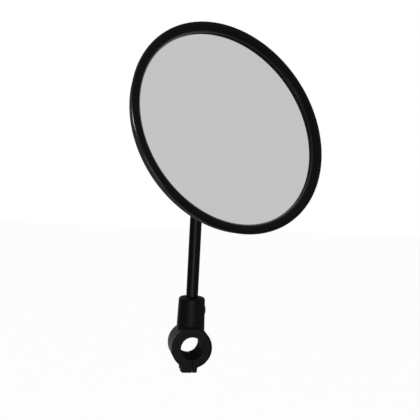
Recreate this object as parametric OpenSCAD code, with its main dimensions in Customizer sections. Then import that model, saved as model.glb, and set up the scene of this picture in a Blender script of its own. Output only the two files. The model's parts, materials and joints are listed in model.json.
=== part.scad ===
// Round handlebar mirror: a split clamp, a bent steel stem, and a mirror head on a ball joint.
// Origin: centre of the clamp's bar bore. +Y runs along the bar, +Z runs up the stem.

/* [Mirror head] */
// Outer diameter of the bezel
mirror_d = 105.6; // [98:0.1:118]
// Width of the bezel in front view
bezel_w = 5; // [4.8:0.1:5.4]
// Thickness of the mirror glass
glass_t = 2; // [1.6:0.1:2.4]
// Angle the mirror faces to the right of straight back
head_turn = 22.6; // [-60:0.1:60]
// Angle the mirror faces above the horizontal
head_rise = 20.5; // [10:0.1:35]

/* [Stem] */
// Diameter of the steel stem
stem_d = 6; // [5.6:0.1:6.4]
// Height of the stem's bend above the bar centre
bend_z = 99.6; // [70:0.1:160]
// Centre line radius of the bend
bend_r = 9; // [8:0.5:9.5]
// Distance from the bend's corner to the ball centre
ball_reach = 14.5; // [14.5:0.5:20]
// Diameter of the ball
ball_d = 12; // [11.8:0.1:12.2]

/* [Bar clamp] */
// Diameter of the bar bore
bar_d = 11; // [10:0.1:12.7]
// Outer diameter of the clamp ring
ring_d = 20.4; // [20.2:0.1:22]
// Length of the clamp ring along the bar
ring_l = 17; // [16:0.5:22]
// Width of the slit in the ring
slit_w = 0.4; // [0.4:0.1:1.2]
// Height of the stem socket's mouth above the bar centre
socket_top = 24.5; // [24:0.5:30]

/* [Hidden] */
$fn = 96;
eps = 0.01;

// Clearances
run_gap = 0.05;      // radial clearance of a running fit
still_gap = 0.02;    // gap between parts that are pressed together

// Clamp ring and its lugs
ring_r = ring_d / 2;
ring_edge = 0.8;     // radius on the ring's edges
slit_x = 0.6;        // the slit sits a little off the centre line
lug_left = 5;        // lug's reach to the left, where the nut sits
lug_right = 3.1;     // lug's reach to the right, where the screw head sits
lug_drop = 2;        // how far the lugs hang below the ring
lug_l = 7;           // lug's length along the bar
lug_edge = 0.8;
lug_z = -(ring_r + lug_drop);

// Clamp screw, M2.5 countersunk with a hex nut
clamp_y = -ring_l / 2 + 3.5;
clamp_z = -9.4;
m25_r = 1.25;
csk_r = 2.35;
csk_t = 1.2;
csk_x = 3.1;         // plane of the countersunk head
nut_af = 5;          // across flats
nut_t = 2;
nut_x = -3;          // inner face of the nut
hex_to_corner = 2 / sqrt(3);
clamp_key_r = 0.85;  // corner radius of the small hex sockets
set_key_r = 1.15;    // corner radius of the set screw's hex socket
clear = 12;          // reach of a cutter past the clamp's side

// Stem socket
socket_r_top = 6.6;
socket_r_low = 7.1;
socket_edge = 1.4;
socket_foot = 4;      // the socket starts inside the ring
socket_waist = 8;     // and tapers from here up
socket_hole_r = 4.6;
socket_floor = 10;
low_bush_z = [10.8, 15.4];
top_bush_z = [20.4, 24.3];

// Set screw, M4 grub with a nylon tip, in a brass insert
set_z = 17.9;
set_r = 2;
insert_r = 2.7;
insert_x = [4.85, 6.1];
set_out = 6.95;      // outer end of the grub screw
set_in = 3.7;        // inner end of the grub screw
tip_r = 0.9;
groove_r = 2.5;      // bottom of the groove that locates the stem
groove_w = 2.2;

// Stem
stem_r = stem_d / 2;
stem_foot = 10.7;
foot_edge = 0.5;
bend_angle = 90 - head_rise;
bend_setback = bend_r * tan(bend_angle / 2);
bend_thin = 0.03;    // the rod thins a little where it is bent
bend_lap = 1;        // degrees the bend runs on inside each straight
tenon_r = 2;
tenon_l = 7;
ball_r = ball_d / 2;
ball_flat = 5;       // distance from the ball centre to the stem's shoulder

// Ball joint, measured from the ball centre along the mirror's axis
seat_in = ball_r + run_gap;
seat_out = ball_r + 1.45;
house_r = seat_out + run_gap;
front_seat_edge = 80;  // angle of the front seat's edge from the mirror's axis
rear_seat_edges = [100, 125];
house_opening = 50;    // half angle of the housing's mouth
joint_plane = -0.8;
pocket_r = 8.2;
pocket_floor = 9.6;
cup_front = 8.3;
cup_rear = 2.6;
flange_r = 15.2;
flange_t = 2;
hub_r = 9.4;
hub_rear = -7.5;
mouth_r = 6.9;
screw_circle = 12.2;
screw_count = 3;
pan_r = 2.3;
pan_t = 1.5;
screw_depth = 5.5;
brass_r = 2.1;
brass_l = 4.6;

// Mirror head, measured from the ball centre along the mirror's axis
glass_front = 13.8;
glass_back = glass_front - glass_t;
rim_r = mirror_d / 2;
glass_r = rim_r - 3.5;
tape_t = 0.8;
gasket_t = 0.4;
lip_r = rim_r - bezel_w;             // edge of the glass left in view
lip_z = glass_front + gasket_t;      // underside of the bezel's lip
crest_z = glass_front + 3.4;         // highest point of the bezel
face_r = 3.2;                        // radius of the bezel's rounded inner face
edge_r = 1.5;                        // radius of the bezel's outer edge
rim_z = 15.2;                        // underside of the bezel's outer edge
skirt_r = [rim_r - 3.3, rim_r - 2.2];  // bezel's skirt, inside the shell's wall
skirt_z = 12.45;
wall_top_r = rim_r - 0.9;            // shell's visible wall behind the bezel
wall_low = [rim_r - 1.4, 11.3];      // foot of that wall, radius and height
bevel_low = [rim_r - 4.6, 8.1];      // where the bevelled corner meets the dome
shell_t = 2;
boss_r = 16;
dome_r = 136.4;
dome_z = 135.7;                      // centre of the dome's sphere, in front of the glass
ledge_r = [rim_r - 6.5, rim_r - 4.7];
ledge_z = glass_back - tape_t;
rib_t = 1.6;
rib_top = 9;
rib_count = 6;

// A ring segment's profile turned about Z
module turned() { rotate_extrude() children(); }

// Box in the half plane used by turned(): radii r0 to r1, heights z0 to z1
module band(r0, r1, z0, z1) { translate([r0, z0]) square([r1 - r0, z1 - z0]); }

// Cylinder along +X from x0 to x1
module rod_x(r, x0, x1, fn = $fn) {
    translate([x0, 0, 0])
        rotate([0, 90, 0])
            cylinder(r = r, h = x1 - x0, $fn = fn);
}

// Places children in the mirror's own frame: ball centre at the origin, +Z out of the glass
module head_frame() {
    translate([0, 0, bend_z])
        rotate([90 - head_rise, 0, head_turn])
            translate([0, 0, ball_reach])
                children();
}

// Spherical shell between two angles measured from +Z
module seat_shell(from_angle, to_angle) {
    far = 2 * seat_out;
    turned()
        intersection() {
            difference() {
                circle(r = seat_out);
                circle(r = seat_in);
            }
            polygon([
                [0, 0],
                [far * sin(from_angle), far * cos(from_angle)],
                [far * sin((from_angle + to_angle) / 2), far * cos((from_angle + to_angle) / 2)],
                [far * sin(to_angle), far * cos(to_angle)]]);
        }
}

// ---------------------------------------------------------------- bar clamp

module ring_blank() {
    half = ring_l / 2;
    rotate([90, 0, 0])
        turned()
            union() {
                band(0, ring_r - ring_edge, -half, half);
                band(0, ring_r, -half + ring_edge, half - ring_edge);
                for (s = [-1, 1])
                    translate([ring_r - ring_edge, s * (half - ring_edge)]) circle(r = ring_edge);
            }
}

module socket_blank() {
    turned()
        union() {
            polygon([
                [0, socket_foot], [socket_r_low, socket_foot], [socket_r_low, socket_waist],
                [socket_r_top, socket_top - socket_edge], [0, socket_top - socket_edge]]);
            band(0, socket_r_top - socket_edge, socket_top - 2 * socket_edge, socket_top);
            translate([socket_r_top - socket_edge, socket_top - socket_edge]) circle(r = socket_edge);
        }
}

module lug_blank() {
    width = lug_left + lug_right;
    height = 6;
    translate([-lug_left, -ring_l / 2 + lug_l, lug_z])
        rotate([90, 0, 0])
            linear_extrude(lug_l)
                union() {
                    translate([lug_edge, 0]) square([width - 2 * lug_edge, height]);
                    translate([0, lug_edge]) square([width, height - lug_edge]);
                    for (x = [lug_edge, width - lug_edge])
                        translate([x, lug_edge]) circle(r = lug_edge);
                }
}

module clamp_body() {
    color([0.09, 0.09, 0.09])
        difference() {
            union() {
                ring_blank();
                socket_blank();
                lug_blank();
            }
            rotate([90, 0, 0]) cylinder(d = bar_d, h = 2 * ring_l, center = true);
            translate([slit_x - slit_w / 2, -ring_l, lug_z - 1]) cube([slit_w, 2 * ring_l, -lug_z]);
            translate([0, 0, socket_floor]) cylinder(r = socket_hole_r, h = socket_top);
            translate([0, clamp_y, clamp_z]) {
                rod_x(m25_r + 0.1, -clear, clear);
                rod_x(csk_r + 0.1, csk_x - csk_t, clear);
                rod_x(nut_af / 2 * hex_to_corner + 0.1, -clear, nut_x, 6);
            }
            translate([0, 0, set_z]) rod_x(insert_r, stem_r, clear);
        }
}

module clamp_screw() {
    color([0.16, 0.16, 0.17])
        translate([0, clamp_y, clamp_z])
            difference() {
                union() {
                    rod_x(m25_r, nut_x - nut_t - 0.6, csk_x);
                    translate([csk_x - csk_t, 0, 0])
                        rotate([0, 90, 0]) cylinder(r1 = m25_r, r2 = csk_r, h = csk_t);
                }
                rod_x(clamp_key_r, csk_x - 0.9, csk_x + 1, 6);
            }
}

module clamp_nut() {
    color([0.2, 0.2, 0.21])
        translate([0, clamp_y, clamp_z])
            difference() {
                rod_x(nut_af / 2 * hex_to_corner, nut_x - nut_t, nut_x - still_gap, 6);
                rod_x(m25_r + still_gap, nut_x - 2 * nut_t, nut_x + 1);
            }
}

module set_screw() {
    color([0.16, 0.16, 0.17])
        translate([0, 0, set_z])
            difference() {
                rod_x(set_r, set_in, set_out);
                rod_x(set_key_r, set_out - 1.6, set_out + 1, 6);
                rod_x(tip_r + still_gap, set_in - 1, set_in + 1);
            }
}

module set_screw_insert() {
    color([0.75, 0.6, 0.3])
        translate([0, 0, set_z])
            difference() {
                rod_x(insert_r - still_gap, insert_x[0], insert_x[1]);
                rod_x(set_r + still_gap, stem_r, clear);
            }
}

module set_screw_tip() {
    color([0.85, 0.85, 0.8])
        translate([0, 0, set_z]) rod_x(tip_r, groove_r + run_gap, set_in + 0.95);
}

module thrust_washer() {
    color([0.85, 0.85, 0.8])
        translate([0, 0, socket_floor + still_gap]) cylinder(r = socket_hole_r - 0.1, h = 0.6);
}

module bush(span) {
    difference() {
        translate([0, 0, span[0]]) cylinder(r = socket_hole_r - still_gap, h = span[1] - span[0]);
        cylinder(r = stem_r + run_gap, h = 2 * socket_top);
    }
}

module lower_bush() { color([0.2, 0.2, 0.2]) bush(low_bush_z); }

module upper_bush() { color([0.2, 0.2, 0.2]) bush(top_bush_z); }

// --------------------------------------------------------------------- stem

module stem_rod() {
    color([0.03, 0.03, 0.03]) {
        straight_top = bend_z - bend_setback;
        difference() {
            union() {
                translate([0, 0, stem_foot + foot_edge])
                    cylinder(r = stem_r, h = straight_top - stem_foot - foot_edge);
                translate([0, 0, stem_foot])
                    cylinder(r1 = stem_r - foot_edge, r2 = stem_r, h = foot_edge);
            }
            translate([0, 0, set_z - groove_w / 2])
                difference() {
                    cylinder(r = 2 * stem_r, h = groove_w);
                    translate([0, 0, -1]) cylinder(r = groove_r, h = groove_w + 2);
                }
        }
        rotate([0, 0, head_turn - 90])
            translate([bend_r, 0, straight_top])
                rotate([90, 0, 0])
                    rotate_extrude(angle = bend_angle + 2 * bend_lap, start = 180 - bend_angle - bend_lap)
                        translate([bend_r, 0]) circle(r = stem_r - bend_thin);
        head_frame() {
            translate([0, 0, bend_setback - ball_reach])
                cylinder(r = stem_r, h = ball_reach - bend_setback - ball_flat);
            translate([0, 0, -ball_flat - 1]) cylinder(r = tenon_r, h = tenon_l + 1);
        }
    }
}

module ball() {
    color([0.6, 0.6, 0.62])
        head_frame()
            difference() {
                sphere(r = ball_r);
                translate([0, 0, -ball_flat + still_gap - ball_r])
                    cylinder(r = ball_r, h = ball_r);
                translate([0, 0, -ball_r - 1])
                    cylinder(r = tenon_r + still_gap, h = ball_r + 1 - ball_flat + tenon_l + 0.2);
            }
}

// --------------------------------------------------------------- ball joint

module front_seat() { color([0.85, 0.85, 0.8]) head_frame() seat_shell(0, front_seat_edge); }

module rear_seat() {
    color([0.85, 0.85, 0.8])
        head_frame()
            seat_shell(rear_seat_edges[0], rear_seat_edges[1]);
}

module pressure_cup() {
    color([0.25, 0.25, 0.26])
        head_frame()
            difference() {
                translate([0, 0, cup_rear]) cylinder(r = pocket_r - 0.1, h = cup_front - cup_rear);
                sphere(r = house_r);
            }
}

module spring_washer() {
    cone_t = 0.5;
    gap = pocket_floor - cup_front - 2 * still_gap;
    color([0.7, 0.7, 0.72])
        head_frame()
            translate([0, 0, cup_front + still_gap])
                turned()
                    polygon([[3, gap - cone_t], [7.6, 0], [7.6, cone_t], [3, gap]]);
}

module ball_retainer() {
    mouth_z = -house_r * cos(house_opening);
    throat_r = house_r * sin(house_opening);
    flange_z = joint_plane - flange_t;
    color([0.07, 0.07, 0.07])
        head_frame()
            difference() {
                union() {
                    translate([0, 0, flange_z]) cylinder(r = flange_r, h = flange_t - still_gap);
                    translate([0, 0, hub_rear])
                        cylinder(r1 = hub_r - 0.5, r2 = hub_r, h = flange_z - hub_rear + 1);
                }
                sphere(r = house_r);
                translate([0, 0, hub_rear - eps])
                    cylinder(r1 = mouth_r, r2 = throat_r, h = mouth_z - hub_rear + 2 * eps);
                for (k = [0 : screw_count - 1])
                    rotate([0, 0, k * 360 / screw_count])
                        translate([screw_circle, 0, flange_z - 1])
                            cylinder(r = m25_r + 0.15, h = flange_t + 2);
            }
}

module retainer_screws() {
    flange_z = joint_plane - flange_t;
    color([0.2, 0.2, 0.21])
        head_frame()
            for (k = [0 : screw_count - 1])
                rotate([0, 0, k * 360 / screw_count])
                    translate([screw_circle, 0, flange_z - still_gap])
                        difference() {
                            union() {
                                translate([0, 0, -pan_t]) cylinder(r = pan_r, h = pan_t);
                                cylinder(r = m25_r, h = flange_t + screw_depth);
                            }
                            translate([0, 0, -pan_t - 1]) cylinder(r = clamp_key_r, h = 2, $fn = 6);
                        }
}

module screw_inserts() {
    color([0.75, 0.6, 0.3])
        head_frame()
            for (k = [0 : screw_count - 1])
                rotate([0, 0, k * 360 / screw_count])
                    translate([screw_circle, 0, joint_plane + still_gap])
                        difference() {
                            cylinder(r = brass_r - still_gap, h = brass_l);
                            translate([0, 0, -1]) cylinder(r = m25_r + still_gap, h = brass_l + 2);
                        }
}

// -------------------------------------------------------------- mirror head

// Area inside the dome's sphere, offset inwards by t
module dome_area(t) {
    intersection() {
        translate([0, dome_z]) circle(r = dome_r - t, $fn = 720);
        band(0, rim_r, -20, rim_z);
    }
}

// Shell's outer outline: dome, bevelled corner and wall
module shell_outline() {
    intersection() {
        dome_area(0);
        polygon([
            [0, -20], [bevel_low[0] - bevel_low[1] - 20, -20], wall_low,
            [wall_top_r, rim_z - still_gap], [0, rim_z - still_gap]]);
    }
}

// Hollow of the shell that holds the glass and the bezel's skirt
module shell_hollow() {
    intersection() {
        dome_area(shell_t);
        band(boss_r, ledge_r[0], 0, rim_z);
    }
    band(0, skirt_r[0], ledge_z, rim_z);
    band(0, skirt_r[1] + still_gap, skirt_z - 2 * still_gap, rim_z);
}

module shell_walls() {
    difference() {
        union() {
            shell_outline();
            band(0, boss_r, joint_plane, 5);
        }
        shell_hollow();
    }
}

module shell_ribs() {
    rib_from = boss_r - 1;
    rib_to = ledge_r[0] + 0.5;
    intersection() {
        turned() dome_area(shell_t / 2);
        for (k = [0 : rib_count - 1])
            rotate([0, 0, (k + 0.5) * 360 / rib_count])
                translate([rib_from, -rib_t / 2, 0]) cube([rib_to - rib_from, rib_t, rib_top]);
    }
}

module back_shell() {
    pilot_top = joint_plane + screw_depth + 1;
    seat_top = joint_plane + brass_l + 0.2;
    deep = 5;
    color([0.08, 0.08, 0.08])
        head_frame()
            difference() {
                union() {
                    turned() shell_walls();
                    shell_ribs();
                }
                translate([0, 0, -deep]) cylinder(r = pocket_r, h = pocket_floor + deep);
                for (k = [0 : screw_count - 1])
                    rotate([0, 0, k * 360 / screw_count])
                        translate([screw_circle, 0, -deep]) {
                            cylinder(r = brass_r, h = deep + seat_top);
                            cylinder(r = m25_r + 0.1, h = deep + pilot_top);
                        }
            }
}

module glass_tape() {
    color([0.3, 0.3, 0.3])
        head_frame()
            turned() band(ledge_r[0] + 0.1, ledge_r[1], ledge_z + still_gap, glass_back - still_gap);
}

module mirror_glass() {
    color([0.77, 0.77, 0.77])
        head_frame()
            translate([0, 0, glass_back]) cylinder(r = glass_r, h = glass_t);
}

module glass_gasket() {
    color([0.05, 0.05, 0.05])
        head_frame()
            turned() band(lip_r + 0.1, glass_r, glass_front + still_gap, lip_z);
}

// Bezel's section: a rounded face rising outwards, a tight outer edge and a skirt
module bezel_section() {
    face_x = lip_r + face_r;
    edge_x = rim_r - edge_r;
    above = crest_z + 1;
    intersection() {
        translate([face_x, crest_z - face_r]) circle(r = face_r);
        union() {
            band(0, skirt_r[1], lip_z, above);
            band(0, face_x, rim_z, above);
        }
    }
    band(face_x - eps, edge_x + eps, rim_z, crest_z);
    intersection() {
        translate([edge_x, crest_z - edge_r]) circle(r = edge_r);
        band(face_x, rim_r + 1, rim_z, above);
    }
    band(skirt_r[0], skirt_r[1], skirt_z, rim_z);
}

module bezel_ring() {
    color([0.07, 0.07, 0.07])
        head_frame()
            turned()
                bezel_section();
}

clamp_body();
clamp_screw();
clamp_nut();
set_screw();
set_screw_insert();
set_screw_tip();
thrust_washer();
lower_bush();
upper_bush();
stem_rod();
ball();
front_seat();
rear_seat();
pressure_cup();
spring_washer();
ball_retainer();
retainer_screws();
screw_inserts();
back_shell();
glass_tape();
mirror_glass();
glass_gasket();
bezel_ring();
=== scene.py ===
import json
import math

import bmesh
import bpy
import numpy as np
from mathutils import Matrix, Vector


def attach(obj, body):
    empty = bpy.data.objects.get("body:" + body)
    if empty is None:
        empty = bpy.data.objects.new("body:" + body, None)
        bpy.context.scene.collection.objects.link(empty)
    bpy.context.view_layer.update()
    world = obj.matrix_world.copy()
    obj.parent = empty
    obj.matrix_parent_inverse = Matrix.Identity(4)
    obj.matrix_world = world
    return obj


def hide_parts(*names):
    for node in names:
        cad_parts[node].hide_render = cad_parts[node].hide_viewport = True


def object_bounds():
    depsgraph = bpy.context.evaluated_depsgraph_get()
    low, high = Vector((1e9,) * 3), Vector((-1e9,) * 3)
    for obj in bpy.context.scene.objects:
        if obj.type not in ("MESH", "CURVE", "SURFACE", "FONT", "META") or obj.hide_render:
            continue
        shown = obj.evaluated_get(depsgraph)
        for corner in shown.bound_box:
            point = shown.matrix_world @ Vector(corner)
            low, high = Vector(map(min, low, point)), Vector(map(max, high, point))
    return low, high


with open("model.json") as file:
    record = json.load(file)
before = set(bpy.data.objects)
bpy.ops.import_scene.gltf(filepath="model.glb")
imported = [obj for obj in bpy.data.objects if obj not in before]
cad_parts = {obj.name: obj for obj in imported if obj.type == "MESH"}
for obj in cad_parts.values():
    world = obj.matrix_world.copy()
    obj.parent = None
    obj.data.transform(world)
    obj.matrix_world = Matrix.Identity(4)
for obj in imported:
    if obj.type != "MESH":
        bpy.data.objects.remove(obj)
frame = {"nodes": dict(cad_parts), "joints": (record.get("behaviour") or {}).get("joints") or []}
cad_box = [list(corner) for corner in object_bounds()]

MM = 0.001
SEGMENTS = 256       # steps round a large turned piece
MEDIUM = 160         # steps round a middling one
FINE = 96            # steps round a small one
TUBE_SIDES = 64      # sides of the stem's tube
FILLET_STEPS = 5     # steps on a small rounded corner
ON_AXIS = 1e-6       # a radius below this is on the axis
SHARP_ANGLE = math.radians(35)
FLAT_WEIGHT = 60     # how strongly large flat faces set the shading
SHARP = 0.08         # fillet that stands for a sharp edge, in millimetres
GAP = 0.02           # clearance between touching surfaces, in millimetres

# ------------------------------------------------------------------ frame


def joint(name):
    """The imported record's joint of that name."""
    return next(j for j in frame["joints"] if j["name"] == name)


def axes_matrix(origin, x, y, z):
    """Matrix with the given origin and axes."""
    matrix = Matrix.Identity(4)
    for column, axis in enumerate((x, y, z, origin)):
        for row in range(3):
            matrix[row][column] = axis[row]
    return matrix


BALL = Vector(joint("head_spin")["pos_m"])
MIRROR_AXIS = Vector(joint("head_spin")["axis"]).normalized()
TILT_AXIS = Vector(joint("head_tilt")["axis"]).normalized()
TURN_AXIS = MIRROR_AXIS.cross(TILT_AXIS)
HEAD = axes_matrix(BALL, TILT_AXIS, TURN_AXIS, MIRROR_AXIS)


def along_head(node):
    """A node's lowest and highest radius and height in the head's frame, in millimetres."""
    inverse = HEAD.inverted()
    points = np.array([inverse @ v.co for v in frame["nodes"][node].data.vertices]) / MM
    radius = np.hypot(points[:, 0], points[:, 1])
    return radius.min(), radius.max(), points[:, 2].min(), points[:, 2].max()


# ------------------------------------------------------------ mesh helpers


def rounded(corners, closed=True):
    """Outline through (x, y, fillet radius) corners, each fillet an arc."""
    outline = []
    count = len(corners)
    for i, (x, y, radius) in enumerate(corners):
        here = Vector((x, y))
        if radius <= 0 or (not closed and i in (0, count - 1)):
            outline.append(here)
            continue
        before = Vector(corners[i - 1][:2])
        after = Vector(corners[(i + 1) % count][:2])
        back = (before - here).normalized()
        onward = (after - here).normalized()
        half = back.angle(onward) / 2
        reach = radius / math.tan(half)
        centre = here + (back + onward).normalized() * radius / math.sin(half)
        first = here + back * reach - centre
        last = here + onward * reach - centre
        turn = first.angle_signed(last)
        for k in range(FILLET_STEPS + 1):
            angle = -turn * k / FILLET_STEPS
            c, s = math.cos(angle), math.sin(angle)
            outline.append(centre + Vector((first.x * c - first.y * s, first.x * s + first.y * c)))
    return [(p.x, p.y) for p in outline]


def arc(cx, cy, radius, start, end, steps):
    """Points on an arc, angles in degrees."""
    angles = [math.radians(start + (end - start) * k / steps) for k in range(steps + 1)]
    return [(cx + radius * math.cos(a), cy + radius * math.sin(a)) for a in angles]


def mesh_object(name, vertices, faces, matrix=Matrix.Identity(4)):
    """Object from vertices in millimetres in the given frame."""
    mesh = bpy.data.meshes.new(name)
    mesh.from_pydata([matrix @ (Vector(v) * MM) for v in vertices], [], faces)
    made = bmesh.new()
    made.from_mesh(mesh)
    bmesh.ops.recalc_face_normals(made, faces=made.faces)
    made.to_mesh(mesh)
    made.free()
    mesh.update()
    piece = bpy.data.objects.new(name, mesh)
    bpy.context.scene.collection.objects.link(piece)
    return piece


def turned(name, outline, matrix=Matrix.Identity(4), segments=SEGMENTS, closed=True):
    """Outline of (radius, height) turned about the frame's Z.

    An open outline starts and ends on the axis."""
    vertices, faces, rings = [], [], []
    for radius, height in outline:
        if radius < ON_AXIS:
            rings.append([len(vertices)] * segments)
            vertices.append((0, 0, height))
            continue
        rings.append(list(range(len(vertices), len(vertices) + segments)))
        for k in range(segments):
            a = 2 * math.pi * k / segments
            vertices.append((radius * math.cos(a), radius * math.sin(a), height))
    pairs = list(zip(rings, rings[1:]))
    if closed:
        pairs.append((rings[-1], rings[0]))
    for low, high in pairs:
        for k in range(segments):
            m = (k + 1) % segments
            corners = [low[k], low[m], high[m], high[k]]
            face = [c for i, c in enumerate(corners) if c != corners[i - 1]]
            if len(face) > 2:
                faces.append(face)
    return mesh_object(name, vertices, faces, matrix)


def prism(name, outline, low, high, matrix=Matrix.Identity(4)):
    """Outline in the frame's XY drawn out from height low to high."""
    count = len(outline)
    vertices = [(x, y, low) for x, y in outline] + [(x, y, high) for x, y in outline]
    faces = [list(range(count)), list(range(count, 2 * count))]
    for k in range(count):
        m = (k + 1) % count
        faces.append([k, m, count + m, count + k])
    return mesh_object(name, vertices, faces, matrix)


def ngon(radius, sides):
    """Corners of a regular polygon."""
    angles = [math.radians(360 * k / sides) for k in range(sides)]
    return [(radius * math.cos(a), radius * math.sin(a)) for a in angles]


def swept(name, stations):
    """Tube through stations of (centre, across, up, radius), closed at both ends, in millimetres."""
    vertices, faces = [], []
    for centre, across, up, radius in stations:
        for k in range(TUBE_SIDES):
            a = 2 * math.pi * k / TUBE_SIDES
            vertices.append(centre + (across * math.cos(a) + up * math.sin(a)) * radius)
    for ring in range(len(stations) - 1):
        for k in range(TUBE_SIDES):
            m = (k + 1) % TUBE_SIDES
            a, b = ring * TUBE_SIDES, (ring + 1) * TUBE_SIDES
            faces.append([a + k, a + m, b + m, b + k])
    faces.append(list(range(TUBE_SIDES)))
    faces.append(list(range(len(vertices) - TUBE_SIDES, len(vertices))))
    return mesh_object(name, vertices, faces)


def settle(piece):
    """Replaces a piece's mesh with what its modifiers make of it."""
    graph = bpy.context.evaluated_depsgraph_get()
    mesh = bpy.data.meshes.new_from_object(piece.evaluated_get(graph))
    piece.modifiers.clear()
    piece.data = mesh
    return piece


def combined(piece, others, operation):
    """Cuts the others from the piece or unites them with it, one at a time, and removes them."""
    for other in others:
        modifier = piece.modifiers.new("combine", "BOOLEAN")
        modifier.object = other
        modifier.operation = operation
        modifier.solver = "MANIFOLD"
        settle(piece)
        bpy.data.objects.remove(other)
    return piece


def cut(piece, *cutters):
    """Takes the cutters away from the piece."""
    return combined(piece, cutters, "DIFFERENCE")


def merge(piece, *others):
    """Unites the others with the piece."""
    return combined(piece, others, "UNION")


def joined(name, pieces):
    """One object holding all the pieces' meshes."""
    made = bmesh.new()
    for piece in pieces:
        made.from_mesh(piece.data)
        bpy.data.objects.remove(piece)
    mesh = bpy.data.meshes.new(name)
    made.to_mesh(mesh)
    made.free()
    whole = bpy.data.objects.new(name, mesh)
    bpy.context.scene.collection.objects.link(whole)
    return whole


def smooth(piece):
    """Smooth shading that keeps sharp edges sharp and flat faces flat."""
    piece.data.shade_smooth()
    piece.data.set_sharp_from_angle(angle=SHARP_ANGLE)
    modifier = piece.modifiers.new("flat_faces", "WEIGHTED_NORMAL")
    modifier.keep_sharp = True
    modifier.weight = FLAT_WEIGHT


def dressed(piece, material):
    """Gives a piece one material."""
    piece.data.materials.clear()
    piece.data.materials.append(material)


def finished(piece, body, material, node):
    """Smooths a new piece, gives it its material and body, and hides the CAD node it stands for."""
    smooth(piece)
    dressed(piece, material)
    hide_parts(node)
    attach(piece, body)
    return piece


# --------------------------------------------------------------- materials


class Shader:
    """A Principled material with small helpers for its nodes."""

    def __init__(self, name, **sockets):
        self.material = bpy.data.materials.new(name)
        self.material.use_nodes = True
        self.tree = self.material.node_tree
        self.surface = self.tree.nodes["Principled BSDF"]
        self.place = self.node("ShaderNodeTexCoord").outputs["Object"]
        for socket, value in sockets.items():
            self.surface.inputs[socket.replace("_", " ")].default_value = value

    def node(self, kind, **inputs):
        """New node with its inputs set or linked by name."""
        node = self.tree.nodes.new(kind)
        for socket, value in inputs.items():
            self.feed(node.inputs[socket.replace("_", " ")], value)
        return node

    def feed(self, socket, value):
        """Links a socket to another node's output, or gives it a plain value."""
        if isinstance(value, bpy.types.NodeSocket):
            self.tree.links.new(value, socket)
        else:
            socket.default_value = value

    def noise(self, scale, detail, roughness=0.5, stretch=(1, 1, 1)):
        """Noise from 0 to 1; scale is in cells per metre."""
        mapped = self.node("ShaderNodeMapping", Vector=self.place, Scale=stretch)
        made = self.node("ShaderNodeTexNoise", Vector=mapped.outputs["Vector"], Scale=scale)
        made.inputs["Detail"].default_value = detail
        made.inputs["Roughness"].default_value = roughness
        return made.outputs["Fac"]

    def spread(self, value, low, high, start=0.3, end=0.7):
        """Maps a value from start..end to low..high."""
        made = self.node("ShaderNodeMapRange", Value=value)
        made.inputs["From Min"].default_value = start
        made.inputs["From Max"].default_value = end
        made.inputs["To Min"].default_value = low
        made.inputs["To Max"].default_value = high
        return made.outputs["Result"]

    def shades(self, value, dark, light, start=0.3, end=0.7):
        """Colour between dark and light by value."""
        ramp = self.node("ShaderNodeValToRGB", Fac=value)
        for element, place, colour in zip(ramp.color_ramp.elements, (start, end), (dark, light)):
            element.position = place
            element.color = (*colour, 1)
        return ramp.outputs["Color"]

    def add(self, a, b, share):
        """One value plus a share of another."""
        scaled = self.node("ShaderNodeMath")
        scaled.operation = "MULTIPLY_ADD"
        self.feed(scaled.inputs[0], b)
        scaled.inputs[1].default_value = share
        self.feed(scaled.inputs[2], a)
        return scaled.outputs[0]

    def bump(self, height, depth_mm):
        """Bump of that depth."""
        made = self.node("ShaderNodeBump", Height=height, Distance=depth_mm * MM, Strength=1.0)
        self.tree.links.new(made.outputs["Normal"], self.surface.inputs["Normal"])

    def set(self, socket, value):
        """Sets or links one of the surface's own inputs."""
        self.feed(self.surface.inputs[socket], value)


def tinted(colour, factor):
    """Colour made darker or lighter by a factor."""
    return tuple(factor * c for c in colour)


def matt_inside(shader, radius_mm, sheen):
    """Sheen that all but goes within a radius of the bar's axis."""
    across = shader.node("ShaderNodeVectorMath", Vector=shader.place)
    across.operation = "MULTIPLY"
    across.inputs[1].default_value = (1, 0, 1)
    radius = shader.node("ShaderNodeVectorMath")
    radius.operation = "LENGTH"
    shader.feed(radius.inputs[0], across.outputs["Vector"])
    edge = radius_mm * MM
    return shader.spread(radius.outputs["Value"], MATT_SHEEN, sheen, edge * 1.01, edge * 1.04)


def moulded_plastic(name, colour, gloss, grain_mm, depth_mm, sheen, matt_bore=False):
    """Black injection-moulded plastic: spark-eroded grain, flow marks and a little dust."""
    shader = Shader(name, Specular_IOR_Level=sheen)
    grain = shader.noise(1 / (grain_mm * MM), detail=3, roughness=0.6)
    flow = shader.noise(60, detail=3, roughness=0.5, stretch=(1, 1, 0.35))
    dust = shader.noise(420, detail=5, roughness=0.7)
    dusty = tuple(1.35 * c + 0.002 for c in colour)
    patches = shader.add(flow, dust, 0.25)
    wear = shader.add(dust, flow, 0.6)
    shader.set("Base Color", shader.shades(patches, tinted(colour, 0.7), dusty, 0.35, 0.85))
    shader.set("Roughness", shader.spread(wear, gloss - 0.06, gloss + 0.1, 0.5, 1.1))
    if matt_bore:
        shader.set("Specular IOR Level", matt_inside(shader, BORE_R, sheen))
    shader.bump(shader.add(grain, dust, 0.4), depth_mm)
    return shader.material


def coated_steel(name, colour):
    """Gloss black coating: faint orange peel under a clear gloss."""
    shader = Shader(name, Specular_IOR_Level=0.5)
    peel = shader.noise(900, detail=2, roughness=0.5, stretch=(1, 1, 0.5))
    haze = shader.noise(120, detail=4, roughness=0.6)
    shader.set("Base Color", shader.shades(haze, tinted(colour, 0.7), tinted(colour, 1.5)))
    shader.set("Roughness", shader.spread(haze, 0.14, 0.24))
    shader.bump(peel, 0.004)
    return shader.material


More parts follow.
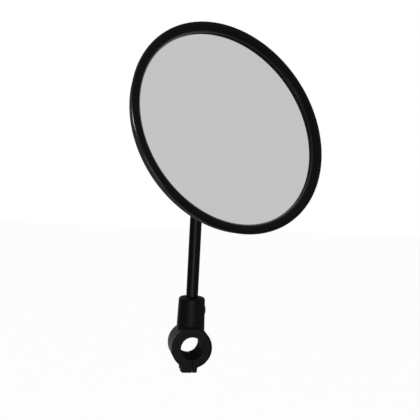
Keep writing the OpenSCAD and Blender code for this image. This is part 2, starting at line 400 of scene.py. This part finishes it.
def machined_metal(name, colour, low, high):
    """Metal with fine tool marks and uneven polish, its roughness from low to high."""
    shader = Shader(name, Metallic=1.0)
    marks = shader.noise(1 / (TOOL_MARK_MM * MM), detail=2, stretch=(1, 1, 0.08))
    patches = shader.noise(500, detail=4, roughness=0.6)
    shader.set("Base Color", shader.shades(patches, tinted(colour, 0.75), colour))
    shader.set("Roughness", shader.spread(patches, low, high))
    shader.bump(marks, 0.002)
    return shader.material


def natural_nylon(name, colour):
    """Milky moulded nylon."""
    shader = Shader(name, Subsurface_Weight=0.15, Subsurface_Scale=0.001)
    mottle = shader.noise(350, detail=3)
    shader.set("Base Color", shader.shades(mottle, tinted(colour, 0.85), colour))
    shader.set("Roughness", shader.spread(mottle, 0.35, 0.5))
    shader.bump(shader.noise(4000, detail=2), 0.003)
    return shader.material


def soft_rubber(name, colour, roughness):
    """Matt black rubber or foam."""
    shader = Shader(name, Specular_IOR_Level=0.3)
    pores = shader.noise(5000, detail=3, roughness=0.7)
    bloom = shader.noise(300, detail=3)
    shader.set("Base Color", shader.shades(bloom, colour, tinted(colour, 2)))
    shader.set("Roughness", shader.spread(bloom, roughness - 0.08, roughness + 0.08))
    shader.bump(pores, 0.02)
    return shader.material


def silvered_glass(name, reflectance):
    """Silvered mirror: perfectly sharp and nearly even, with the faintest haze in its colour."""
    shader = Shader(name, Metallic=1.0, Roughness=0.0)
    haze = shader.noise(25, detail=4, roughness=0.6)
    shader.set("Base Color", shader.shades(haze, tinted(reflectance, 0.985), reflectance))
    return shader.material


BORE_R = 5.5                      # bar bore, whose wall is matt
MATT_SHEEN = 0.004
TOOL_MARK_MM = 0.06
CLAMP_PLASTIC = moulded_plastic(
    "clamp_plastic", (0.015, 0.015, 0.014), 0.32, 0.28, 0.010, 0.32, matt_bore=True)
SHELL_PLASTIC = moulded_plastic("shell_plastic", (0.015, 0.015, 0.0145), 0.34, 0.35, 0.008, 0.42)
BEZEL_PLASTIC = moulded_plastic("bezel_plastic", (0.013, 0.013, 0.0125), 0.22, 0.5, 0.003, 0.46)
STEM_COAT = coated_steel("stem_coat", (0.004, 0.004, 0.004))
DARK_STEEL = machined_metal("dark_steel", (0.14, 0.14, 0.145), 0.3, 0.5)
BALL_STEEL = machined_metal("ball_steel", (0.62, 0.62, 0.63), 0.08, 0.2)
SPRING_STEEL = machined_metal("spring_steel", (0.5, 0.5, 0.52), 0.2, 0.35)
BRASS = machined_metal("brass", (0.72, 0.52, 0.25), 0.2, 0.4)
NYLON = natural_nylon("nylon", (0.78, 0.77, 0.72))
BUSH_PLASTIC = moulded_plastic("bush_plastic", (0.02, 0.02, 0.02), 0.4, 0.3, 0.006, 0.35)
FOAM = soft_rubber("foam", (0.02, 0.02, 0.02), 0.85)
GASKET_RUBBER = soft_rubber("gasket_rubber", (0.006, 0.006, 0.006), 0.6)
MIRROR = silvered_glass("mirror", (0.88, 0.885, 0.885))

# -------------------------------------------------------------- mirror head

LIP_R, RIM_R, SKIRT_Z, CREST_Z = along_head("bezel_ring")
_, GLASS_R, GLASS_BACK, GLASS_FRONT = along_head("mirror_glass")
FACE_R = 3.2                      # bezel's rounded inner face
EDGE_R = 1.5                      # bezel's outer edge
LIP_Z = GLASS_FRONT + 0.4         # underside of the bezel's lip
RIM_Z = 15.2                      # underside of the bezel's outer edge
SKIRT = (RIM_R - 3.3, RIM_R - 2.2)
UNDERSIDE_R = RIM_R - 0.15
ARC_STEPS = 28


def bezel():
    """Bezel: rounded face rising outwards, tight outer edge, skirt inside the shell's wall."""
    face_x, edge_x = LIP_R + FACE_R, RIM_R - EDGE_R
    under = -math.degrees(math.asin((CREST_Z - EDGE_R - RIM_Z) / EDGE_R))
    lip = 180 - math.degrees(math.asin((LIP_Z + SHARP - CREST_Z + FACE_R) / FACE_R))
    skirt = rounded([
        (face_x, LIP_Z, 0), (SKIRT[0], LIP_Z, SHARP), (SKIRT[0], SKIRT_Z, SHARP),
        (SKIRT[1], SKIRT_Z, SHARP), (SKIRT[1], RIM_Z, SHARP), (UNDERSIDE_R, RIM_Z, 0)],
        closed=False)[1:]
    edge = arc(edge_x, CREST_Z - EDGE_R, EDGE_R, under + 3, 90, ARC_STEPS)
    face = arc(face_x, CREST_Z - FACE_R, FACE_R, 90, lip, ARC_STEPS)
    return turned("bezel_ring_moulding", skirt + edge + face + [(LIP_R + SHARP, LIP_Z)], HEAD)


def glass():
    """Mirror glass with ground edges."""
    outline = rounded([
        (0, GLASS_BACK, 0), (GLASS_R, GLASS_BACK, 0.3), (GLASS_R, GLASS_FRONT, 0.3), (0, GLASS_FRONT, 0)],
        closed=False)
    return turned("mirror_plate", outline, HEAD, closed=False)


BOSS_R, BOSS_Z = 16.0, -0.8       # flat pad that carries the ball joint
POCKET_R, POCKET_FLOOR = 8.2, 9.6
DOME_R, DOME_CENTRE = 136.4, 135.7
DOME_STEPS = 24
DOME_EDGE_R = RIM_R - 5.8
SHOULDER_R, SHOULDER_Z = RIM_R - 4.6, 8.1
WALL_R, WALL_Z, WALL_TOP_R = RIM_R - 1.4, 11.3, RIM_R - 0.9
SHELL_T = 2.0
LEDGE_R, LEDGE_Z = RIM_R - 6.5, GLASS_BACK - 0.8
SCREW_CIRCLE = 12.2
DRILL_START = -12.0
INSERT_HOLE_R, INSERT_HOLE_TOP = 2.1, BOSS_Z + 4.8
TIP_HOLE_R, TIP_HOLE_TOP = 1.35, BOSS_Z + 6.5
RIB_T, RIB_TOP, RIB_COUNT = 1.6, 9.0, 6


def dome(radius, thickness):
    """Height of the dome at a radius, moved inwards by a thickness."""
    return DOME_CENTRE - math.sqrt((DOME_R - thickness) ** 2 - radius ** 2)


def dome_curve(start, end, thickness):
    """Corners along the dome between two radii."""
    radii = [start + (end - start) * k / DOME_STEPS for k in range(DOME_STEPS + 1)]
    return [(radius, dome(radius, thickness), 0) for radius in radii]


def back_shell():
    """Domed back: pad and pocket for the ball joint, ribs inside, a wall round the glass."""
    outline = rounded(
        [(0, POCKET_FLOOR, 0), (POCKET_R, POCKET_FLOOR, 0.2), (POCKET_R, BOSS_Z, 0.25),
         (BOSS_R, BOSS_Z, 0.35), (BOSS_R, dome(BOSS_R, 0), 0.35)]
        + dome_curve(BOSS_R + 1, DOME_EDGE_R, 0)
        + [(SHOULDER_R, SHOULDER_Z, 1.2), (WALL_R, WALL_Z, 1.1), (WALL_TOP_R, RIM_Z - GAP, SHARP),
           (SKIRT[1] + GAP, RIM_Z - GAP, SHARP), (SKIRT[1] + GAP, SKIRT_Z - 2 * GAP, SHARP),
           (SKIRT[0], SKIRT_Z - 2 * GAP, SHARP), (SKIRT[0], LEDGE_Z, 0.2), (LEDGE_R, LEDGE_Z, 0.2)]
        + dome_curve(LEDGE_R, BOSS_R + 1, SHELL_T)
        + [(BOSS_R, dome(BOSS_R, SHELL_T), 0.3), (BOSS_R, LEDGE_Z, 0.3), (0, LEDGE_Z, 0)],
        closed=False)
    shell = turned("back_shell_moulding", outline, HEAD, closed=False)
    merge(shell, *ribs())
    holes = screw_holes(INSERT_HOLE_R, INSERT_HOLE_TOP) + screw_holes(TIP_HOLE_R, TIP_HOLE_TOP)
    return cut(shell, *holes)


def ribs():
    """Ribs from the pad to the ledge, sunk halfway into the shell."""
    low, high = BOSS_R - 1, LEDGE_R + 0.5
    section = [(low, dome(low, 1)), (high, dome(high, 1)), (high, RIB_TOP), (low, RIB_TOP)]
    upright = Matrix.Rotation(math.pi / 2, 4, "X")
    for k in range(RIB_COUNT):
        turn = Matrix.Rotation(2 * math.pi * (k + 0.5) / RIB_COUNT, 4, "Z")
        yield prism("rib", section, -RIB_T / 2, RIB_T / 2, HEAD @ (turn @ upright))


def screw_places():
    """Frames of the three screws round the ball joint."""
    for k in range(3):
        turn = Matrix.Rotation(2 * math.pi * k / 3, 4, "Z")
        yield HEAD @ turn @ Matrix.Translation(Vector((SCREW_CIRCLE * MM, 0, 0)))


def screw_holes(radius, top):
    """Three drills from behind the head up to a height."""
    return [prism("drill", ngon(radius, FINE), DRILL_START, top, place) for place in screw_places()]


HOUSE_R = 7.5                     # housing round the ball seats
FLANGE_R, FLANGE_T = 15.2, 2.0
HUB_R, HUB_REAR = 9.4, -7.5
MOUTH_R = 6.9
THROAT_ANGLE = -40                # where the throat leaves the housing's sphere, in degrees
THROAT_R = HOUSE_R * math.cos(math.radians(THROAT_ANGLE))
THROAT_Z = HOUSE_R * math.sin(math.radians(THROAT_ANGLE))
SCREW_CLEARANCE_R = 1.4


def ball_retainer():
    """Flanged cup that holds the ball in the shell's pad."""
    top, low = BOSS_Z - GAP, BOSS_Z - FLANGE_T
    house = arc(0, 0, HOUSE_R, THROAT_ANGLE, math.degrees(math.asin(top / HOUSE_R)), 20)
    outside = rounded([
        (HOUSE_R - 0.1, top, 0), (FLANGE_R, top, 0.3), (FLANGE_R, low, 0.5), (HUB_R - 0.1, low, 0.8),
        (HUB_R - 0.5, HUB_REAR, 0.5), (MOUTH_R, HUB_REAR, 0.3), (THROAT_R, THROAT_Z, 0)],
        closed=False)[1:-1]
    cup = turned("ball_retainer_moulding", outside + house, HEAD, MEDIUM)
    return cut(cup, *screw_holes(SCREW_CLEARANCE_R, 2))


PAN_R, PAN_T, SHANK_R, SHANK_TOP = 2.3, 1.5, 1.25, 4.68
KEY_R, KEY_DEEP = 0.85, 1.0


def retainer_screws():
    """Three pan-head screws with hex sockets."""
    seat = BOSS_Z - FLANGE_T - GAP
    outline = rounded([
        (0, seat - PAN_T, 0), (PAN_R, seat - PAN_T, 0.7), (PAN_R, seat, 0.1), (SHANK_R, seat, 0.1),
        (SHANK_R, SHANK_TOP, 0.25), (0, SHANK_TOP, 0)], closed=False)
    screws = []
    for place in screw_places():
        screw = turned("screw", outline, place, 64, closed=False)
        socket = prism("key", ngon(KEY_R, 6), seat - PAN_T - 1, seat - PAN_T + KEY_DEEP, place)
        screws.append(cut(screw, socket))
    return joined("retainer_screws_turned", screws)


BEZEL = finished(bezel(), "head", BEZEL_PLASTIC, "bezel_ring")
finished(glass(), "head", MIRROR, "mirror_glass")
finished(back_shell(), "head", SHELL_PLASTIC, "back_shell")
finished(ball_retainer(), "head", CLAMP_PLASTIC, "ball_retainer")
finished(retainer_screws(), "head", DARK_STEEL, "retainer_screws")

# --------------------------------------------------------------------- stem

STEM_R, STEM_FOOT = 3.0, 10.7
BEND_R, BALL_REACH, BALL_R, BALL_FLAT = 9.0, 14.5, 6.0, 5.0
TENON_R, TENON_TOP = 2.0, 2.0
GROOVE_R, GROOVE_Z = 2.5, (16.8, 19.0)
FOOT_CHAMFER = 0.5
BEND_STEPS = 36
BEND_CORNER = BALL / MM - MIRROR_AXIS * BALL_REACH


def stem():
    """Bent rod: chamfered foot, groove for the set screw, bend, shoulder and tenon for the ball."""
    up = Vector((0, 0, 1))
    angle = up.angle(MIRROR_AXIS)
    setback = BEND_R * math.tan(angle / 2)
    straight_top = BEND_CORNER.z - setback
    low, high = GROOVE_Z
    profile = [
        (STEM_FOOT, STEM_R - FOOT_CHAMFER), (STEM_FOOT + FOOT_CHAMFER, STEM_R),
        (low, STEM_R), (low, GROOVE_R), (high, GROOVE_R), (high, STEM_R),
        (straight_top * 0.6, STEM_R), (straight_top, STEM_R)]
    stations = [(Vector((0, 0, z)), TILT_AXIS, up.cross(TILT_AXIS), r) for z, r in profile]
    level = (MIRROR_AXIS - up * MIRROR_AXIS.dot(up)).normalized()
    centre = Vector((0, 0, straight_top)) + level * BEND_R
    for k in range(1, BEND_STEPS + 1):
        a = angle * k / BEND_STEPS
        place = centre - level * BEND_R * math.cos(a) + up * BEND_R * math.sin(a)
        heading = up * math.cos(a) + level * math.sin(a)
        stations.append((place, TILT_AXIS, heading.cross(TILT_AXIS), STEM_R))
    side = MIRROR_AXIS.cross(TILT_AXIS)
    for reach, radius in ((-BALL_FLAT, STEM_R), (-BALL_FLAT, TENON_R), (TENON_TOP, TENON_R)):
        stations.append((BALL / MM + MIRROR_AXIS * reach, TILT_AXIS, side, radius))
    return swept("stem_rod_bent", stations)


def ball():
    """Ball with its flat and its blind bore."""
    flat_r = math.sqrt(BALL_R ** 2 - (BALL_FLAT - GAP) ** 2)
    start = math.degrees(math.asin((GAP - BALL_FLAT) / BALL_R))
    bore = TENON_R + GAP
    bore_end, flat = TENON_TOP + 0.2, GAP - BALL_FLAT
    inside = [(0, bore_end), (bore, bore_end), (bore, flat), (flat_r - 0.1, flat)]
    outside = arc(0, 0, BALL_R, start + 1, 90, 48)
    return turned("ball_turned", inside + outside, HEAD, 128, closed=False)


finished(stem(), "stem", STEM_COAT, "stem_rod")
finished(ball(), "stem", BALL_STEEL, "ball")

# -------------------------------------------------------------------- clamp

RING_R, RING_HALF, RING_EDGE = 10.2, 8.5, 0.8
SOCKET_R, SOCKET_FOOT, SOCKET_WAIST, SOCKET_TOP, SOCKET_EDGE = (7.1, 6.6), 4.0, 8.0, 24.5, 1.4
SOCKET_BORE, SOCKET_FLOOR = 4.6, 10.0
LUG_X, LUG_Z, LUG_H, LUG_L, LUG_EDGE = (-5.0, 3.1), -12.2, 6.0, 7.0, 0.8
SLIT_X, SLIT_W = 0.6, 0.4
SCREW_Y, SCREW_Z = -RING_HALF + 3.5, -9.4
HEAD_X, HEAD_T = 3.1, 1.2         # mouth and depth of the pocket for the clamp screw's head
NUT_X = -3.0                      # floor of the nut's pocket
HEAD_HOLE_R, SCREW_HOLE_R, NUT_HOLE_R = 2.45, 1.35, 2.987
SET_Z, INSERT_R = 17.9, 2.7       # height of the set screw, radius of its insert's hole
FAR = 14.0                        # cutters reach past the clamp
VOXEL = 0.2                       # grid on which the moulding's solids are blended
SOFTEN = 10                       # smoothing passes that round the moulded joins
CHAMFER = 0.3                     # at the mouths of the bores
BAR = axes_matrix(Vector((0, 0, 0)), Vector((1, 0, 0)), Vector((0, 0, -1)), Vector((0, 1, 0)))


def across_frame(y, z):
    """Frame whose Z runs to the right at that place on the clamp."""
    place = Vector((0, y, z)) * MM
    return axes_matrix(place, Vector((0, 1, 0)), Vector((0, 0, 1)), Vector((1, 0, 0)))


def clamp_blank():
    """Ring, socket and lug blended into one moulding."""
    ring = turned("ring", rounded([
        (0, -RING_HALF, 0), (RING_R, -RING_HALF, RING_EDGE),
        (RING_R, RING_HALF, RING_EDGE), (0, RING_HALF, 0)], closed=False), BAR, MEDIUM, closed=False)
    socket = turned("socket", rounded([
        (0, SOCKET_FOOT, 0), (SOCKET_R[0], SOCKET_FOOT, 0), (SOCKET_R[0], SOCKET_WAIST, 0),
        (SOCKET_R[1], SOCKET_TOP, SOCKET_EDGE), (0, SOCKET_TOP, 0)],
        closed=False), segments=MEDIUM, closed=False)
    lug_outline = rounded([
        (LUG_X[0], LUG_Z, LUG_EDGE), (LUG_X[1], LUG_Z, LUG_EDGE),
        (LUG_X[1], LUG_Z + LUG_H, 0), (LUG_X[0], LUG_Z + LUG_H, 0)])
    upright = axes_matrix(Vector((0, 0, 0)), Vector((1, 0, 0)), Vector((0, 0, 1)), Vector((0, -1, 0)))
    lug = prism("lug", lug_outline, RING_HALF - LUG_L, RING_HALF, upright)
    merge(ring, socket, lug)
    remesh = ring.modifiers.new("blend", "REMESH")
    remesh.mode = "VOXEL"
    remesh.voxel_size = VOXEL * MM
    soften = ring.modifiers.new("soften", "SMOOTH")
    soften.factor = 0.5
    soften.iterations = SOFTEN
    return settle(ring)


def bore_cutter():
    """Bar bore with a small chamfer at each end."""
    mouth, reach = BORE_R + CHAMFER, RING_HALF + 2
    outline = [
        (0, -reach), (mouth + 2, -reach), (mouth, -RING_HALF), (BORE_R, CHAMFER - RING_HALF),
        (BORE_R, RING_HALF - CHAMFER), (mouth, RING_HALF), (mouth + 2, reach), (0, reach)]
    return turned("bore", outline, BAR, 192, closed=False)


def clamp_body():
    """Clamp moulding with its bores, slit and screw holes."""
    body = clamp_blank()
    socket_bore = turned("socket_bore", [
        (0, SOCKET_FLOOR), (SOCKET_BORE, SOCKET_FLOOR), (SOCKET_BORE, SOCKET_TOP - CHAMFER),
        (SOCKET_BORE + CHAMFER + 1, SOCKET_TOP + 1), (0, SOCKET_TOP + 1)], segments=FINE, closed=False)
    left, right, reach = SLIT_X - SLIT_W / 2, SLIT_X + SLIT_W / 2, RING_HALF + 2
    slit = prism("slit", [(left, -reach), (right, -reach), (right, reach), (left, reach)], LUG_Z - 2, -1)
    screw_line = across_frame(SCREW_Y, SCREW_Z)
    cut(body, bore_cutter(), socket_bore, slit,
        prism("shank_hole", ngon(SCREW_HOLE_R, 48), -FAR, FAR, screw_line),
        prism("head_hole", ngon(HEAD_HOLE_R, FINE), HEAD_X - HEAD_T, FAR, screw_line),
        prism("nut_hole", ngon(NUT_HOLE_R, 6), -FAR, NUT_X, screw_line),
        prism("insert_hole", ngon(INSERT_R, FINE), 3, FAR, across_frame(0, SET_Z)))
    body.name = "clamp_body_moulding"
    return body


finished(clamp_body(), "clamp", CLAMP_PLASTIC, "clamp_body")

# ------------------------------------------------------- carried-over nodes

NODE_MATERIALS = {
    "clamp_screw": DARK_STEEL, "clamp_nut": DARK_STEEL, "set_screw": DARK_STEEL,
    "set_screw_insert": BRASS, "screw_inserts": BRASS,
    "set_screw_tip": NYLON, "thrust_washer": NYLON, "front_seat": NYLON, "rear_seat": NYLON,
    "lower_bush": BUSH_PLASTIC, "upper_bush": BUSH_PLASTIC, "pressure_cup": BUSH_PLASTIC,
    "spring_washer": SPRING_STEEL, "glass_tape": FOAM, "glass_gasket": GASKET_RUBBER}
for node, material in NODE_MATERIALS.items():
    dressed(frame["nodes"][node], material)

# ------------------------------------------------------- stage and camera

FLOOR_HALF, FLOOR_DROP = 4.0, 0.25
FLOOR_GLOW = (0.86, 0.86, 0.86, 1)

VIEW_AZIMUTH, VIEW_ELEVATION, VIEW_ROLL = (math.radians(a) for a in (-10.5, 3, 3))
VIEW_DISTANCE = 0.3708
VIEW_FIELD = math.radians(32)
AIM = Vector((0.00733, 0.00233, 0.0685))
CLIP = (0.02, 20)

# Each is a base brightness and some glows. A glow has its direction, the angles in degrees
# up to which it is full and from which it is gone, and its brightness.
SKY = (0.40, (((0.745, -0.317, 0.587), 12, 100, 0.225),))
ROOM = (0.075, (
    ((-0.35, 0.92, -0.05), 8, 36, 0.12),
    ((-0.15, 0.7, -0.7), 15, 50, 0.2),
    ((-0.6, 0.55, 0.6), 10, 40, 0.2),
    ((-0.5, -0.8, -0.3), 15, 50, 0.04),
    ((0.8, -0.5, 0.1), 20, 60, 0.03),
    ((0.0, 0.0, 1.0), 10, 80, 0.04)))


def floor():
    """Pale glowing floor well below the part, which neither reflects it nor is lit by it."""
    mesh = bpy.data.meshes.new("floor")
    size = FLOOR_HALF
    corners = [(-size, -size, 0), (size, -size, 0), (size, size, 0), (-size, size, 0)]
    mesh.from_pydata(corners, [], [(0, 1, 2, 3)])
    plane = bpy.data.objects.new("floor", mesh)
    plane.location.z = cad_box[0][2] - FLOOR_DROP
    bpy.context.scene.collection.objects.link(plane)
    shader = Shader("floor_paper", Emission_Strength=1.0, Roughness=0.9)
    paper = shader.noise(30, detail=3)
    shader.set("Base Color", shader.shades(paper, (0.84, 0.84, 0.84), (0.88, 0.88, 0.88)))
    shader.set("Emission Color", FLOOR_GLOW)
    mesh.materials.append(shader.material)
    plane.visible_glossy = False
    plane.visible_diffuse = False


def glowing(tree, base, glows):
    """Brightness by direction: a base and some soft round glows."""
    look = tree.nodes.new("ShaderNodeTexCoord").outputs["Generated"]
    total = tree.nodes.new("ShaderNodeValue").outputs[0]
    total.default_value = base
    for direction, inner, outer, strength in glows:
        dot = tree.nodes.new("ShaderNodeVectorMath")
        dot.operation = "DOT_PRODUCT"
        tree.links.new(look, dot.inputs[0])
        dot.inputs[1].default_value = Vector(direction).normalized()
        fade = tree.nodes.new("ShaderNodeMapRange")
        fade.interpolation_type = "SMOOTHSTEP"
        tree.links.new(dot.outputs["Value"], fade.inputs["Value"])
        fade.inputs["From Min"].default_value = math.cos(math.radians(outer))
        fade.inputs["From Max"].default_value = math.cos(math.radians(inner))
        fade.inputs["To Min"].default_value = 0
        fade.inputs["To Max"].default_value = strength
        add = tree.nodes.new("ShaderNodeMath")
        tree.links.new(total, add.inputs[0])
        tree.links.new(fade.outputs["Result"], add.inputs[1])
        total = add.outputs[0]
    glow = tree.nodes.new("ShaderNodeBackground")
    glow.inputs["Color"].default_value = (1, 1, 1, 1)
    tree.links.new(total, glow.inputs["Strength"])
    return glow.outputs[0]


def studio():
    """White for the camera, a pale sky for the mirror, a dim soft room for everything else."""
    world = bpy.data.worlds.new("studio")
    bpy.context.scene.world = world
    world.use_nodes = True
    tree = world.node_tree
    tree.nodes.clear()
    ray = tree.nodes.new("ShaderNodeLightPath").outputs
    shown = glowing(tree, *ROOM)
    views = (("Is Singular Ray", glowing(tree, *SKY)), ("Is Camera Ray", glowing(tree, 1.0, ())))
    for kind, seen in views:
        mix = tree.nodes.new("ShaderNodeMixShader")
        tree.links.new(ray[kind], mix.inputs["Fac"])
        tree.links.new(shown, mix.inputs[1])
        tree.links.new(seen, mix.inputs[2])
        shown = mix.outputs[0]
    tree.links.new(shown, tree.nodes.new("ShaderNodeOutputWorld").inputs["Surface"])


def soft_light(name, direction, distance, size, brightness, state):
    """Area light facing the part from a direction, hidden from the camera but not from the mirror.

    Its state says whether it lights only the bezel or everything but the bezel."""
    data = bpy.data.lights.new(name, "AREA")
    data.shape = "RECTANGLE"
    data.size, data.size_y = size
    data.energy = brightness * math.pi * size[0] * size[1]
    light = bpy.data.objects.new(name, data)
    away = Vector(direction).normalized()
    light.location = AIM + away * distance
    light.rotation_mode = "QUATERNION"
    light.rotation_quaternion = away.to_track_quat("Z", "Y")
    light.visible_camera = False
    bpy.context.scene.collection.objects.link(light)
    linked = bpy.data.collections.new(name + "_pieces")
    linked.objects.link(BEZEL)
    linked.collection_objects[0].light_linking.link_state = state
    light.light_linking.receiver_collection = linked


def camera():
    """Camera in front, a little to the left of the part and leaning a few degrees."""
    back = Vector((
        math.sin(VIEW_AZIMUTH) * math.cos(VIEW_ELEVATION),
        -math.cos(VIEW_AZIMUTH) * math.cos(VIEW_ELEVATION),
        math.sin(VIEW_ELEVATION)))
    level = Vector((math.cos(VIEW_AZIMUTH), math.sin(VIEW_AZIMUTH), 0))
    up = back.cross(level)
    right = level * math.cos(VIEW_ROLL) + up * math.sin(VIEW_ROLL)
    data = bpy.data.cameras.new("camera")
    data.sensor_width = 36
    data.angle = VIEW_FIELD
    data.clip_start, data.clip_end = CLIP
    made = bpy.data.objects.new("camera", data)
    made.matrix_world = axes_matrix(AIM + back * VIEW_DISTANCE, right, back.cross(right), back)
    bpy.context.scene.collection.objects.link(made)
    bpy.context.scene.camera = made


floor()
studio()
camera()
soft_light("key", (-0.94, -0.19, 0.24), 0.8, (0.24, 0.12), 24, "INCLUDE")
soft_light("low", (-0.82, -0.38, -0.43), 1.0, (0.5, 0.5), 2.2, "INCLUDE")
soft_light("front", (-0.16, -0.985, 0.02), 1.0, (0.72, 0.9), 0.5, "EXCLUDE")
bpy.context.scene.view_settings.view_transform = "Standard"
